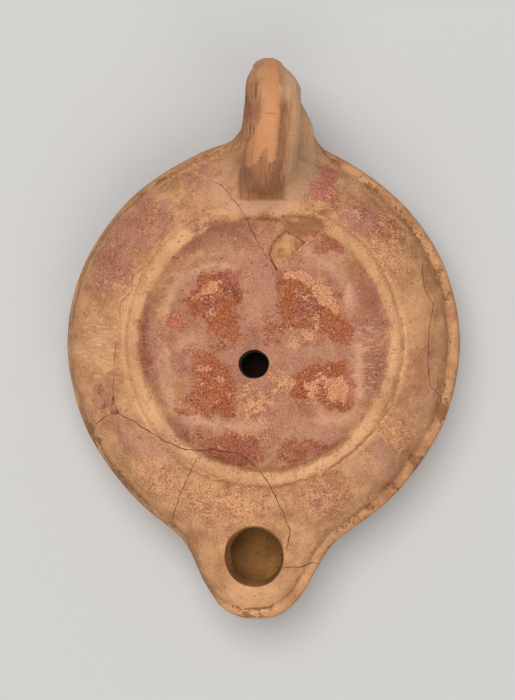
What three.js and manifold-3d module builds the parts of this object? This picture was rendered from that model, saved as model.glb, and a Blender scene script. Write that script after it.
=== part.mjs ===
// A mould-made terracotta oil lamp of Roman imperial type. A round, hollow body carries a sunken discus
// with a worn relief of four leaves, a short rounded nozzle towards -Y, and an upright pierced ring
// handle towards +Y. It is one piece of fired clay, mended from sherds, with one small sherd sunk in its
// place. Millimetres, +Z up, origin at the centre of the flat base.
import * as THREE from "three";
import { mergeVertices } from "three/addons/utils/BufferGeometryUtils.js";
import Module from "manifold-3d";

const wasm = await Module();
wasm.setup();

const { clamp, lerp, smoothstep, degToRad } = THREE.MathUtils;

// Body
const BODY_RADIUS = 40; // the widest line, in the lower mould half
const GIRTH_HEIGHT = 14; // height of that line
const BASE_RADIUS = 20;
const BASE_DISC_RADIUS = 17.6; // middle of the base, inside its ring groove
const SEAM_RADIUS = 38.2; // upper mould half where it meets the lower one
const SEAM_HEIGHT = 17.2;
const MOULD_SLIP = -0.9; // the upper mould half sits this far towards -X
const BODY_SEGMENTS = 88;
const NOZZLE_CROWDING = 0.5; // draws the body's segments together at the nozzle

// Discus and the ridge around it
const RIDGE_OUTER_RADIUS = 28.1; // groove between ridge and shoulder
const RIDGE_INNER_RADIUS = 24.6;
const RIDGE_HEIGHT = 26.2;
const DISCUS_RADIUS = 18.5; // foot of the discus's sloping wall
const DISCUS_HEIGHT = 22.4;
const DISCUS_DISH = 0.4; // the discus floor is this much lower at its centre
const DISCUS_OVAL = 0.025; // longer along Y and shorter along X by this share

// Relief of four leaves
const LEAF_REACH = 13.2; // from the discus centre to a leaf's middle
const LEAF_SPREAD = 40; // degrees of each leaf's middle above or below the X axis
const LEAF_LENGTH = 6.6; // half length, along the line from the centre
const LEAF_WIDTH = 6; // half width
const LEAF_HEIGHT = 0.9;

// Nozzle
const NOZZLE_REACH = 15.8; // beyond the body's circle
const NOZZLE_HALF_ANGLE = 14.5; // degrees, seen from the body's centre
const FLARE_HALF_ANGLE = 33; // degrees, of the soft join between nozzle and body
const FLARE_SHARE = 0.24;
const NOZZLE_TURN = -1.9; // degrees, the nozzle points a little towards -X
const NOZZLE_LIFT = 2;
const WICK_HOLE = { x: -1.7, y: -42.8, radius: 6.2 };
const FILLING_HOLE = { x: -2, y: -4.2, radius: 3.2 };

// Hollow
const FLOOR = 4;
const ROOF = 3.4;
const HOLLOW_RADIUS = 35.2;
const HOLLOW_SEGMENTS = 60;
const HOLLOW_NOZZLE_HALF_ANGLE = 12; // narrower than outside, which keeps the side walls thick

// Handle: a ring standing in the YZ plane, its lower front sunk in the shoulder
const RING_Y = 42.2;
const RING_HEIGHT = 27;
const RING_SEGMENTS = 40;
// Shift towards +X for each millimetre above the ring's axis, and for each one back from it
const RING_LEAN = { perHeight: 0.08, perLength: 0.05 };
// Shares of the half widths on each side
const RING_FLANKS = { left: 0.78, leftFoot: 0.64, right: 1.17, rightFoot: 1.45, rightBack: 0.9 };
// The wall swells below the handle, a little more on +X
const SWELL = { reach: 2, halfAngle: 22, turn: -2 };
const HANDLE_SECTION = [
  // distance from the ring's axis, half width in the loop, half width at the foot
  [4.6, 3.2, 4.6],
  [5.3, 4.5, 6],
  [7.2, 5.4, 7],
  [9.6, 5.2, 6.9],
  [11.3, 4.3, 6.2],
  [12.1, 3, 5.6], // the rib starts here
  [13, 2.2, 4.6],
  [13.6, 0.9, 2.6],
];

// Lost sherd in the discus, with a flake of clay left sunk in it
const LOSS = { floor: 21.1, corners: [[2.6, 14.2], [8.8, 20], [4.4, 22.4], [0.8, 18.6]] };
const SLIT_WIDTH = 0.8; // open right through, along the loss's left edge

// The closed solid inside a geometry's faces.
function solidOf(geometry) {
  const bare = new THREE.BufferGeometry().setAttribute("position", geometry.getAttribute("position"));
  const merged = mergeVertices(bare.setIndex(geometry.index), 1e-3);
  const vertProperties = merged.getAttribute("position").array;
  return new wasm.Manifold(new wasm.Mesh({ numProp: 3, vertProperties, triVerts: merged.index.array }));
}

// A profile of [radius, height] points turned about the Z axis, with every point then moved by place().
function turned(profile, segments, place) {
  const points = profile.map(([radius, height]) => new THREE.Vector2(radius, height));
  const geometry = new THREE.LatheGeometry(points, segments).rotateX(Math.PI / 2);
  const position = geometry.getAttribute("position");
  const point = new THREE.Vector3();
  for (let i = 0; i < position.count; i++) {
    place(point.fromBufferAttribute(position, i));
    position.setXYZ(i, point.x, point.y, point.z);
  }
  return solidOf(geometry);
}

// Points along a cubic curve between two [radius, height] ends, without the first one.
function curve(start, control1, control2, end, steps) {
  const ends = [start, control1, control2, end].map(([x, y]) => new THREE.Vector2(x, y));
  const points = new THREE.CubicBezierCurve(...ends).getPoints(steps);
  return points.slice(1).map((p) => [p.x, p.y]);
}

// A column of the given outline, from one height up to another.
function column(corners, bottom, top) {
  const shape = new THREE.Shape(corners.map(([x, y]) => new THREE.Vector2(x, y)));
  const geometry = new THREE.ExtrudeGeometry(shape, { depth: top - bottom, bevelEnabled: false });
  return solidOf(toIndexed(geometry.translate(0, 0, bottom)));
}

function toIndexed(geometry) {
  if (!geometry.index) {
    geometry.setIndex([...Array(geometry.getAttribute("position").count).keys()]);
  }
  return geometry;
}

// A round hole's tool, upright through the top of the lamp.
function drill({ x, y, radius }, bottom, segments) {
  const top = RIDGE_HEIGHT + 4;
  const geometry = new THREE.CylinderGeometry(radius, radius, top - bottom, segments).rotateX(Math.PI / 2);
  return solidOf(geometry.translate(x, y, (top + bottom) / 2));
}

// 1 on the nozzle's axis, falling to 0 round the body: how much of the nozzle's reach is used at an angle
// in degrees.
function nozzleBell(angle, halfAngle) {
  const tongue = Math.exp(-Math.pow(Math.abs(angle) / halfAngle, 2.9));
  const flare = Math.exp(-Math.pow(angle / FLARE_HALF_ANGLE, 2));
  return lerp(tongue, flare, FLARE_SHARE);
}

// Height of the leaf relief over the discus floor.
function leafRelief(x, y) {
  let relief = 0;
  for (const sideX of [-1, 1]) {
    for (const sideY of [-1, 1]) {
      const spread = degToRad(LEAF_SPREAD);
      const axis = new THREE.Vector2(sideX * Math.cos(spread), sideY * Math.sin(spread));
      const along = x * axis.x + y * axis.y - LEAF_REACH;
      const across = y * axis.x - x * axis.y;
      // The leaf is heart shaped: broad and notched away from the centre, narrow towards it.
      const width = LEAF_WIDTH * (1 + (0.35 * along) / LEAF_LENGTH);
      const notch = 0.35 * Math.exp(-Math.pow(across / 1.8, 2)) * smoothstep(along, 1, LEAF_LENGTH);
      const edge = Math.hypot(along / LEAF_LENGTH, across / width) + notch;
      relief = Math.max(relief, LEAF_HEIGHT * (1 - smoothstep(edge, 0.45, 1.05)));
    }
  }
  return relief;
}

// Moves a point of the turned body to its place: the nozzle drawn out of the wall, the discus made a
// little oval, the upper mould half slipped to one side.
function placeOnBody(point) {
  const inUpperMould = point.z > SEAM_HEIGHT - 0.1;
  shapeNozzle(point, BODY_RADIUS, BASE_RADIUS, NOZZLE_HALF_ANGLE);
  if (inUpperMould) {
    const radius = Math.hypot(point.x, point.y);
    const onFloor = 1 - smoothstep(radius, DISCUS_RADIUS, DISCUS_RADIUS + 3);
    const onShoulder = smoothstep(radius, RIDGE_INNER_RADIUS, SEAM_RADIUS);
    point.z += onFloor * leafRelief(point.x, point.y);
    point.x *= 1 - DISCUS_OVAL * (1 - onShoulder);
    point.y *= 1 + DISCUS_OVAL * (1 - onShoulder);
    point.x += MOULD_SLIP * onShoulder;
  }
}

// Draws a turned point out and up along the nozzle, and out below the handle. Points inside the core
// radius stay.
function shapeNozzle(point, rimRadius, lowerCore, halfAngle) {
  const radius = Math.hypot(point.x, point.y);
  const even = Math.atan2(point.x, -point.y);
  const angle = even - NOZZLE_CROWDING * Math.sin(even);
  const upper = point.z > GIRTH_HEIGHT;
  const core = upper ? RIDGE_OUTER_RADIUS : lowerCore;
  const share = clamp((radius - core) / (rimRadius - core), 0, 1);
  const bell = nozzleBell(THREE.MathUtils.radToDeg(angle) - NOZZLE_TURN, halfAngle);
  const drawn = upper ? Math.sin((share * Math.PI) / 2) : Math.pow(share, 1.3);
  const fromHandle = 180 - Math.abs(THREE.MathUtils.radToDeg(angle)) + Math.sign(angle) * SWELL.turn;
  const swell = SWELL.reach * Math.exp(-Math.pow(fromHandle / SWELL.halfAngle, 2)) * share;
  const reach = radius + NOZZLE_REACH * bell * drawn + swell;
  point.x = reach * Math.sin(angle);
  point.y = -reach * Math.cos(angle);
  point.z += NOZZLE_LIFT * bell * share;
}

function outerBody() {
  const discusFoot = [DISCUS_RADIUS, DISCUS_HEIGHT];
  const profile = [
    [0, 0],
    [BASE_DISC_RADIUS, 0],
    [BASE_DISC_RADIUS + 0.5, 0.6], // ring groove of the base
    [BASE_DISC_RADIUS + 1.2, 0.6],
    [BASE_DISC_RADIUS + 1.7, 0],
    [BASE_RADIUS, 0],
    ...curve([BASE_RADIUS, 0], [30, 2.3], [39.8, 6.5], [BODY_RADIUS, GIRTH_HEIGHT], 7),
    [BODY_RADIUS - 0.3, SEAM_HEIGHT - 0.9],
    [BODY_RADIUS - 0.9, SEAM_HEIGHT - 0.2], // lower mould half stands proud of the upper one
    [SEAM_RADIUS, SEAM_HEIGHT],
    ...curve([SEAM_RADIUS, SEAM_HEIGHT], [37.4, 20], [33.5, 24], [RIDGE_OUTER_RADIUS + 0.6, 25.2], 5),
    [RIDGE_OUTER_RADIUS, 24.8], // groove outside the ridge
    [RIDGE_OUTER_RADIUS - 0.8, 25.9],
    [(RIDGE_OUTER_RADIUS + RIDGE_INNER_RADIUS) / 2, RIDGE_HEIGHT],
    [RIDGE_INNER_RADIUS, RIDGE_HEIGHT - 0.5],
    ...curve([RIDGE_INNER_RADIUS, RIDGE_HEIGHT - 0.5], [23.6, 24.4], [21.6, 22.8], discusFoot, 5),
    ...[17.4, 16, 14.6, 13.2, 11.8, 10.2, 8.6, 7, 5].map((r) => [r, discusFloor(r)]),
    [0, discusFloor(0)],
  ];
  return turned(profile, BODY_SEGMENTS, placeOnBody);
}

function discusFloor(radius) {
  return DISCUS_HEIGHT - DISCUS_DISH * (1 - Math.pow(radius / DISCUS_RADIUS, 2));
}

// The oil reservoir and the channel into the nozzle, a wall's thickness inside the body.
function hollow() {
  const girth = [HOLLOW_RADIUS, GIRTH_HEIGHT];
  const profile = [
    [0, FLOOR],
    [15, FLOOR],
    ...curve([15, FLOOR], [25, 5.4], [35, 9], girth, 5),
    ...curve(girth, [35, 18], [31.5, 20.6], [27, 21.6], 4),
    [24.4, 21.2],
    [21, 19.6],
    [17, DISCUS_HEIGHT - ROOF],
    [0, DISCUS_HEIGHT - DISCUS_DISH - ROOF],
  ];
  return turned(profile, HOLLOW_SEGMENTS, (point) => {
    shapeNozzle(point, HOLLOW_RADIUS, 15, HOLLOW_NOZZLE_HALF_ANGLE);
  });
}

function handle() {
  const left = HANDLE_SECTION.map(([radius, width]) => new THREE.Vector2(radius, -width));
  const right = left.map((p) => new THREE.Vector2(p.x, -p.y)).reverse();
  const profile = [...left, ...right, left[0]];
  const geometry = new THREE.LatheGeometry(profile, RING_SEGMENTS).rotateZ(-Math.PI / 2);
  const position = geometry.getAttribute("position");
  const point = new THREE.Vector3();
  for (let i = 0; i < position.count; i++) {
    point.fromBufferAttribute(position, i);
    placeOnHandle(point);
    position.setXYZ(i, point.x, point.y, point.z);
  }
  return solidOf(geometry.translate(0, RING_Y, RING_HEIGHT));
}

// Moves a point of the plain ring, measured from its centre, to its place: broader where the ring springs
// from the body, with a fuller flank on the +X side, and leaning.
function placeOnHandle(point) {
  const radius = Math.hypot(point.y, point.z);
  const towardsBody = (-0.5 * point.y - 0.87 * point.z) / radius;
  const foot = smoothstep(towardsBody, 0, 0.95);
  const row = HANDLE_SECTION.findIndex(([r]) => Math.abs(r - radius) < 0.1);
  const [, loopWidth, footWidth] = HANDLE_SECTION[row];
  const { left, leftFoot, right, rightFoot, rightBack } = RING_FLANKS;
  const back = smoothstep(point.y / radius, 0.7, 1);
  const onRight = lerp(lerp(right, rightBack, back), rightFoot, foot);
  const flank = point.x < 0 ? lerp(left, leftFoot, foot) : onRight;
  const evenness = row > HANDLE_SECTION.length - 4 ? foot : 1; // the rib keeps its own width in the loop
  const width = lerp(loopWidth, footWidth, foot) * lerp(1, flank, evenness);
  point.x = Math.sign(point.x) * width;
  point.x += RING_LEAN.perHeight * Math.max(point.z, 0) + RING_LEAN.perLength * point.y;
}

// A band along the loss's left edge, cut right through the wall.
function slit() {
  const [tip, , , left] = LOSS.corners.map(([x, y]) => new THREE.Vector2(x, y));
  const inward = new THREE.Vector2(left.y - tip.y, tip.x - left.x).normalize().multiplyScalar(SLIT_WIDTH);
  const band = [tip, tip.clone().add(inward), left.clone().add(inward), left];
  return column(band.map((p) => [p.x, p.y]), DISCUS_HEIGHT - 6, LOSS.floor + 0.5);
}

function lamp() {
  return outerBody()
    .add(handle())
    .subtract(hollow())
    .subtract(drill(FILLING_HOLE, FLOOR + 8, 24))
    .subtract(drill(WICK_HOLE, FLOOR + 8, 36))
    .subtract(column(LOSS.corners, LOSS.floor, RIDGE_HEIGHT))
    .subtract(slit());
}

// A solid as a named mesh in its material.
function meshOf(name, solid, material) {
  const { vertProperties, triVerts } = solid.getMesh();
  const geometry = new THREE.BufferGeometry();
  geometry.setAttribute("position", new THREE.BufferAttribute(vertProperties, 3));
  geometry.setIndex(new THREE.BufferAttribute(triVerts, 1));
  geometry.computeVertexNormals();
  const mesh = new THREE.Mesh(geometry, material);
  mesh.name = name;
  return mesh;
}

const terracotta = new THREE.MeshStandardMaterial({ color: 0xc08862, roughness: 0.85, metalness: 0 });

const root = new THREE.Group();
root.add(meshOf("lamp", lamp(), terracotta));

export default root;
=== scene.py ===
import math

import bmesh
import bpy
import numpy as np
from mathutils import Matrix, Vector, geometry, noise
from mathutils.bvhtree import BVHTree


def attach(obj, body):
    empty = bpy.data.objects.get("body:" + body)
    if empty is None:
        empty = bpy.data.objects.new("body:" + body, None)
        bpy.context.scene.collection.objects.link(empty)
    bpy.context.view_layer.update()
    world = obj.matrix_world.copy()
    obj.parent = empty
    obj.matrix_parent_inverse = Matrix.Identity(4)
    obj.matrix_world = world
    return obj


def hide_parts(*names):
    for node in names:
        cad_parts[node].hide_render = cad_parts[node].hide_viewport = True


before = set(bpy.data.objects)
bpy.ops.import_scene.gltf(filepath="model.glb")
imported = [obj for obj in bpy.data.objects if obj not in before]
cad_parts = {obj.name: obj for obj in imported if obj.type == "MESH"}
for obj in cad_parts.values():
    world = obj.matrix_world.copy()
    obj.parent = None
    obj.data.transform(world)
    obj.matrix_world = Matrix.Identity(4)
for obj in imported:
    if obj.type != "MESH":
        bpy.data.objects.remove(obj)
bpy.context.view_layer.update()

mm = 0.001  # the lamp is modelled in millimetres and made metres at the end
weld = 1e-4  # points closer than this become one
noise.seed_set(1)  # without it the cracks wander differently on every run
print("frame loaded")


# shapes, and the noise and lines that move their points


def smooth(value, low, high):
    share = np.clip((value - low) / (high - low), 0, 1)
    return share * share * (3 - 2 * share)


def bellAt(value, middle, halfWidth):
    # 1 at the middle, fading to both sides
    return np.exp(-(((value - middle) / halfWidth) ** 2))


def between(value, rise, full, wane, end):
    # fades in from rise to full and out again from wane to end
    return smooth(value, rise, full) * (1 - smooth(value, wane, end))


def newObject(name, bm):
    mesh = bpy.data.meshes.new(name)
    bm.to_mesh(mesh)
    bm.free()
    obj = bpy.data.objects.new(name, mesh)
    bpy.context.scene.collection.objects.link(obj)
    return obj


def copyOf(obj):
    other = obj.copy()
    other.data = obj.data.copy()
    bpy.context.scene.collection.objects.link(other)
    return other


def places(obj):
    co = np.empty(len(obj.data.vertices) * 3)
    obj.data.vertices.foreach_get("co", co)
    return co.reshape(-1, 3)


def normals(obj):
    out = np.empty(len(obj.data.vertices) * 3)
    obj.data.vertices.foreach_get("normal", out)
    return out.reshape(-1, 3)


def putBack(obj, co):
    obj.data.vertices.foreach_set("co", co.ravel())
    obj.data.update()


def modify(obj, kind, **settings):
    # applies one modifier: its result becomes the mesh itself
    step = obj.modifiers.new("step", kind)
    for name, value in settings.items():
        setattr(step, name, value)
    graph = bpy.context.evaluated_depsgraph_get()
    made = bpy.data.meshes.new_from_object(obj.evaluated_get(graph))
    obj.modifiers.clear()
    obj.data = made


def combine(obj, tool, operation="DIFFERENCE"):
    modify(obj, "BOOLEAN", operation=operation, solver="MANIFOLD", material_mode="TRANSFER", object=tool)
    bpy.data.objects.remove(tool)


def noiseAt(co, size, seed):
    # smooth noise from about -1 to 1, its bumps about `size` across
    shift = Vector((seed * 17.3, seed * 9.1, seed * 5.7))
    return np.array([noise.noise(Vector(p) / size + shift) for p in co.tolist()])


def curvePoints(start, control1, control2, end, steps):
    corners = [Vector((p[0], p[1], 0)) for p in (start, control1, control2, end)]
    return [(p.x, p.y) for p in geometry.interpolate_bezier(*corners, steps + 1)][1:]


def turned(name, bm, outline, steps, centre=(0, 0, 0), axis=(0, 0, 1)):
    # an outline of points and edges turned once about the axis
    bmesh.ops.spin(bm, geom=outline, cent=centre, axis=axis, angle=math.tau, steps=steps, use_merge=True)
    bmesh.ops.remove_doubles(bm, verts=bm.verts, dist=weld)
    bmesh.ops.recalc_face_normals(bm, faces=bm.faces)
    return newObject(name, bm)


def spun(name, profile, steps):
    # a profile of (radius, height) turned about Z
    bm = bmesh.new()
    verts = [bm.verts.new((radius, 0, height)) for radius, height in profile]
    edges = [bm.edges.new(pair) for pair in zip(verts, verts[1:])]
    return turned(name, bm, verts + edges, steps)


def column(name, corners, bottom, top):
    bm = bmesh.new()
    face = bm.faces.new([bm.verts.new((x, y, bottom)) for x, y in corners])
    made = bmesh.ops.extrude_face_region(bm, geom=[face])["geom"]
    bmesh.ops.translate(bm, verts=[v for v in made if isinstance(v, bmesh.types.BMVert)], vec=(0, 0, top - bottom))
    bmesh.ops.recalc_face_normals(bm, faces=bm.faces)
    return newObject(name, bm)


def fromLine(co, line):
    # distance of each point from a line seen from above, and the side it lies on (1 is left)
    best = np.full(len(co), 1e9)
    side = np.zeros(len(co))
    for a, b in zip(line, line[1:]):
        a, b = np.array(a), np.array(b)
        along = b - a
        share = np.clip(((co[:, :2] - a) @ along) / (along @ along), 0, 1)
        off = co[:, :2] - a - share[:, None] * along
        gap = np.hypot(off[:, 0], off[:, 1])
        closer = gap < best
        best = np.where(closer, gap, best)
        side = np.where(closer, np.sign(along[0] * off[:, 1] - along[1] * off[:, 0]), side)
    return best, side


# the turned body, with its nozzle drawn out of the wall

body = {
    "radius": 40,
    "girth": 14,
    "base": 20,
    "baseDisc": 17.6,
    "seamRadius": 38.2,
    "seam": 17.2,
    "mouldSlip": -0.9,  # the upper mould half sits this far to -X
    "ridgeOuter": 28.1,
    "ridgeInner": 24.6,
    "ridgeTop": 26.2,
    "discus": 18.5,
    "discusHeight": 22.4,
    "discusDish": 0.4,
    "oval": 0.025,
    "steps": 240,
}
nozzle = {
    "reach": 15.8,
    "halfAngle": 14.5,
    "hollowHalfAngle": 12,
    "flareAngle": 33,
    "flareShare": 0.24,
    "turn": -1.9,
    "lift": 2,
    "crowding": 0.5,
}
swell = {"reach": 2, "halfAngle": 22, "turn": -2}


def nozzleBell(degrees, halfAngle):
    off = np.abs(degrees - nozzle["turn"])
    tongue = np.exp(-((off / halfAngle) ** 2.9))
    flare = bellAt(off, 0, nozzle["flareAngle"])
    return tongue + (flare - tongue) * nozzle["flareShare"]


def drawNozzle(co, rim, lowerCore, halfAngle):
    radius = np.hypot(co[:, 0], co[:, 1])
    even = np.arctan2(co[:, 0], -co[:, 1])
    angle = even - nozzle["crowding"] * np.sin(even)
    degrees = np.degrees(angle)
    upper = co[:, 2] > body["girth"]
    core = np.where(upper, body["ridgeOuter"], lowerCore)
    share = np.clip((radius - core) / (rim - core), 0, 1)
    bell = nozzleBell(degrees, halfAngle)
    drawn = np.where(upper, np.sin(share * math.pi / 2), share**1.3)
    fromHandle = 180 - np.abs(degrees) + np.sign(angle) * swell["turn"]
    reach = radius + nozzle["reach"] * bell * drawn
    reach += swell["reach"] * bellAt(fromHandle, 0, swell["halfAngle"]) * share
    height = co[:, 2] + nozzle["lift"] * bell * share
    return np.stack([reach * np.sin(angle), -reach * np.cos(angle), height], 1)


def discusFloor(radius):
    return body["discusHeight"] - body["discusDish"] * (1 - (radius / body["discus"]) ** 2)


def makeBody():
    b = body
    seam = (b["seamRadius"], b["seam"])
    groove = (b["ridgeOuter"] + 0.5, 25.2)
    brow = (b["ridgeInner"], b["ridgeTop"] - 0.5)
    # the base with its ring groove, and the lower bowl up to the seam
    profile = [(0, 0), (b["baseDisc"], 0), (b["baseDisc"] + 0.5, 0.6), (b["baseDisc"] + 1.2, 0.6)]
    profile += [(b["baseDisc"] + 1.7, 0), (b["base"], 0)]
    profile += curvePoints((b["base"], 0), (30, 2.3), (39.8, 6.5), (b["radius"], b["girth"]), 16)
    profile += [(b["radius"] - 0.3, b["seam"] - 0.9), (b["radius"] - 0.9, b["seam"] - 0.2), seam]
    # the shoulder, the groove and ridge round the discus, and the discus
    profile += curvePoints(seam, (37.4, 20), (33.5, 24), groove, 16)
    profile += [(b["ridgeOuter"], 24.9), (b["ridgeOuter"] - 0.6, 25.6)]
    profile += curvePoints((b["ridgeOuter"] - 0.6, 25.6), (27.2, 26.5), (25.4, 26.4), brow, 8)
    profile += curvePoints(brow, (23.6, 24.4), (21.6, 22.8), (b["discus"], b["discusHeight"]), 10)
    profile += [(radius, discusFloor(radius)) for radius in (16, 12, 8, 4, 0)]
    obj = spun("body", profile, b["steps"])
    co = places(obj)
    upperMould = co[:, 2] > b["seam"] - 0.1
    co = drawNozzle(co, b["radius"], b["base"], nozzle["halfAngle"])
    onShoulder = smooth(np.hypot(co[:, 0], co[:, 1]), b["ridgeInner"], b["seamRadius"])
    inward = np.where(upperMould, 1 - onShoulder, 0)
    co[:, 0] = co[:, 0] * (1 - b["oval"] * inward) + np.where(upperMould, b["mouldSlip"] * onShoulder, 0)
    co[:, 1] *= 1 + b["oval"] * inward
    putBack(obj, co)
    return obj


# the handle, a ring standing on the shoulder

ring = {
    "y": 42.2,
    "height": 27,
    "steps": 120,
    "leanUp": 0.08,
    "leanBack": 0.05,
    "left": 0.74,
    "leftFoot": 0.64,
    "right": 1.17,
    "rightFoot": 1.45,
    "rightBack": 0.9,
    "radii": (4.6, 5.3, 7.2, 9.6, 11.3, 12.1, 13, 13.6),
    "loop": (3.2, 4.5, 5.4, 5.2, 4.3, 3, 2.2, 0.9),  # half widths in the loop
    "foot": (4.6, 6, 7, 6.9, 6.2, 5.6, 4.6, 2.6),  # and where it springs from the body
    "ribFrom": 12,
}


def makeHandle():
    bm = bmesh.new()
    radii = np.interp(np.linspace(0, 7, 22), range(8), ring["radii"])
    side = [(1, radius) for radius in radii]
    section = side + [(-x, radius) for x, radius in reversed(side)]
    verts = [bm.verts.new((x, ring["y"], ring["height"] + radius)) for x, radius in section]
    edges = [bm.edges.new(pair) for pair in zip(verts, verts[1:] + verts[:1])]
    centre = (0, ring["y"], ring["height"])
    obj = turned("handle", bm, verts + edges, ring["steps"], centre, (1, 0, 0))
    co = places(obj)
    y, z = co[:, 1] - ring["y"], co[:, 2] - ring["height"]
    radius = np.hypot(y, z)
    foot = smooth((-0.5 * y - 0.87 * z) / radius, 0, 0.95)
    width = np.interp(radius, ring["radii"], ring["loop"]) * (1 - foot)
    width += np.interp(radius, ring["radii"], ring["foot"]) * foot
    left = ring["left"] + (ring["leftFoot"] - ring["left"]) * foot
    back = smooth(y / radius, 0.7, 1)
    right = ring["right"] + (ring["rightBack"] - ring["right"]) * back
    right += (ring["rightFoot"] - right) * foot
    flank = np.where(co[:, 0] < 0, left, right)
    even = np.where(radius > ring["ribFrom"], foot, 1)
    co[:, 0] = np.sign(co[:, 0]) * width * (1 + (flank - 1) * even)
    co[:, 0] += ring["leanUp"] * np.maximum(z, 0) + ring["leanBack"] * y
    putBack(obj, co)
    return obj


# body and handle joined under one skin, with a fillet all round the handle's root

skin = {
    "voxel": 0.36,
    "fillet": 4.6,
    "filletVoxel": 0.6,
    "rootBox": ((-15, 15), (26, 46), (12, 33)),
    "rounds": 2,
}


def makeFillet(obj):
    # swollen and shrunk again, the shape keeps a fillet in its hollow corners
    bm = bmesh.new()
    bmesh.ops.create_cube(bm, size=1)
    for axis, (low, high) in enumerate(skin["rootBox"]):
        for vert in bm.verts:
            vert.co[axis] = low if vert.co[axis] < 0 else high
    bounds = newObject("bounds", bm)
    fillet = copyOf(obj)
    modify(fillet, "REMESH", mode="VOXEL", voxel_size=skin["filletVoxel"])
    for reach in (skin["fillet"], -skin["fillet"]):
        modify(fillet, "DISPLACE", strength=reach, mid_level=0, direction="NORMAL")
        modify(fillet, "REMESH", mode="VOXEL", voxel_size=skin["filletVoxel"])
        modify(fillet, "SMOOTH", factor=0.5, iterations=2)
    combine(fillet, bounds, "INTERSECT")
    return fillet


def makeLoop():
    # opens the finger hole again, flaring to both sides
    half = [(4.6, 3), (5.1, 4.4), (6.2, 6.4), (8.5, 12), (0, 12)]
    loop = spun("loop", [(radius, -z) for radius, z in reversed(half)] + half, 64)
    centre = Matrix.Translation((0.3, ring["y"], ring["height"]))
    loop.data.transform(centre @ Matrix.Rotation(math.pi / 2, 4, "Y"))
    return loop


lamp = makeBody()
combine(lamp, makeHandle(), "UNION")
combine(lamp, makeFillet(lamp), "UNION")
combine(lamp, makeLoop())
modify(lamp, "REMESH", mode="VOXEL", voxel_size=skin["voxel"])
modify(lamp, "SMOOTH", factor=0.5, iterations=skin["rounds"])
lamp.name = "oilLamp"
print("skin:", len(lamp.data.vertices), "points")


# relief and unevenness of the outer skin

relief = {
    "keep": 0.54,  # share of the skin's triangles kept
    # each leaf: middle, half length, half width, and the way it points, in degrees
    "leaves": (
        ((-9.4, 8.4), 6.6, 5.4, 138),
        ((9.4, 7.4), 7.4, 6.6, 38),
        ((-11.6, -9.2), 6.8, 6.4, 218),
        ((11.6, -8.8), 6.6, 5.6, 322),
    ),
    "leafHeight": 0.95,
    "moat": 0.22,
    # faint raised lines round the leaves
    "lines": (
        ((-7.4, 19), (-15.8, 14.6), (-18.2, 10.6), (-19.4, 4)),
        ((-20.6, -4), (-20.2, -10.5), (-16.6, -16), (-8, -17)),
        ((18.4, -4), (18.8, -9.5), (17.2, -14.6), (12, -16)),
    ),
    "lineHeight": 0.22,
    # the mended edge right of the lost sherd, and the broken slope sunk beside it
    "edge": ((2.8, 15), (7.2, 19.3), (10.5, 21.3), (13.4, 23.8), (13.6, 25.3), (17, 26.5)),
    "slope": (7.4, 22.6, 5.6, 2.9),  # its middle and half sizes
    "slopeDepth": 1.1,
    "stepDepth": 0.22,
    "seamWave": 0.16,
    "uneven": 0.16,
    "fine": 0.05,
    "lumps": 0.2,
}


def leafHeight(co):
    height = np.zeros(len(co))
    for (x, y), length, width, turn in relief["leaves"]:
        c, s = math.cos(math.radians(turn)), math.sin(math.radians(turn))
        along = (co[:, 0] - x) * c + (co[:, 1] - y) * s
        across = (co[:, 1] - y) * c - (co[:, 0] - x) * s
        # heart shaped: broad and notched away from the middle of the discus
        notch = 0.35 * bellAt(across, 0, 1.6) * smooth(along, 1, length)
        edge = np.hypot(along / length, across / (width * (1 + 0.3 * along / length))) + notch
        height = np.maximum(height, relief["leafHeight"] * (1 - smooth(edge, 0.55, 1.08)))
        height -= relief["moat"] * bellAt(edge, 1.25, 0.16)
    return height


def shapeSurface(obj):
    co = places(obj)
    facing = normals(obj)
    radius = np.hypot(co[:, 0], co[:, 1])
    onTop = smooth(facing[:, 2], 0.2, 0.6) * (co[:, 2] > body["seam"])
    onDiscus = onTop * (1 - smooth(radius, 21, 22.5)) * (co[:, 2] < 26)
    swellings = noiseAt(co, 9, 1)
    grain = noiseAt(co, 2.2, 2)
    lift = relief["uneven"] * swellings + relief["fine"] * grain
    lift += onDiscus * leafHeight(co) * (1 + relief["lumps"] * noiseAt(co, 3.2, 3))
    for line in relief["lines"]:
        gap, side = fromLine(co, line)
        lift += onDiscus * relief["lineHeight"] * bellAt(gap, 0, 0.9)
    gap, side = fromLine(co, relief["edge"])
    above = onTop * (side > 0) * (co[:, 1] > 15.2) * (co[:, 2] < 29)
    x, y, halfX, halfY = relief["slope"]
    sunk = 1 - smooth(np.hypot((co[:, 0] - x) / halfX, (co[:, 1] - y) / halfY), 0.45, 1.15)
    lift -= above * np.maximum(relief["slopeDepth"] * sunk, relief["stepDepth"] * (1 - smooth(gap, 0, 3)))
    onSeam = bellAt(co[:, 2], body["seam"] + 0.3, 1.6) * (radius > 36)
    lift += relief["seamWave"] * onSeam * noiseAt(co, 3, 4)
    lift *= smooth(co[:, 2], 0.2, 3)  # the base stays flat to stand on
    putBack(obj, co + facing * lift[:, None])


shapeSurface(lamp)
modify(lamp, "DECIMATE", ratio=relief["keep"])
print("relief done:", len(lamp.data.polygons), "triangles")


# shader nodes


def colour(red, green, blue):
    # display values from 0 to 255 as linear light
    return tuple(c / 3294.6 if c < 11 else ((c / 255 + 0.055) / 1.055) ** 2.4 for c in (red, green, blue)) + (1,)


current = {}  # "tree": the node tree being built, set by newGroup and newMaterial


def join(output, socket):
    current["tree"].links.new(output, socket)


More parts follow.
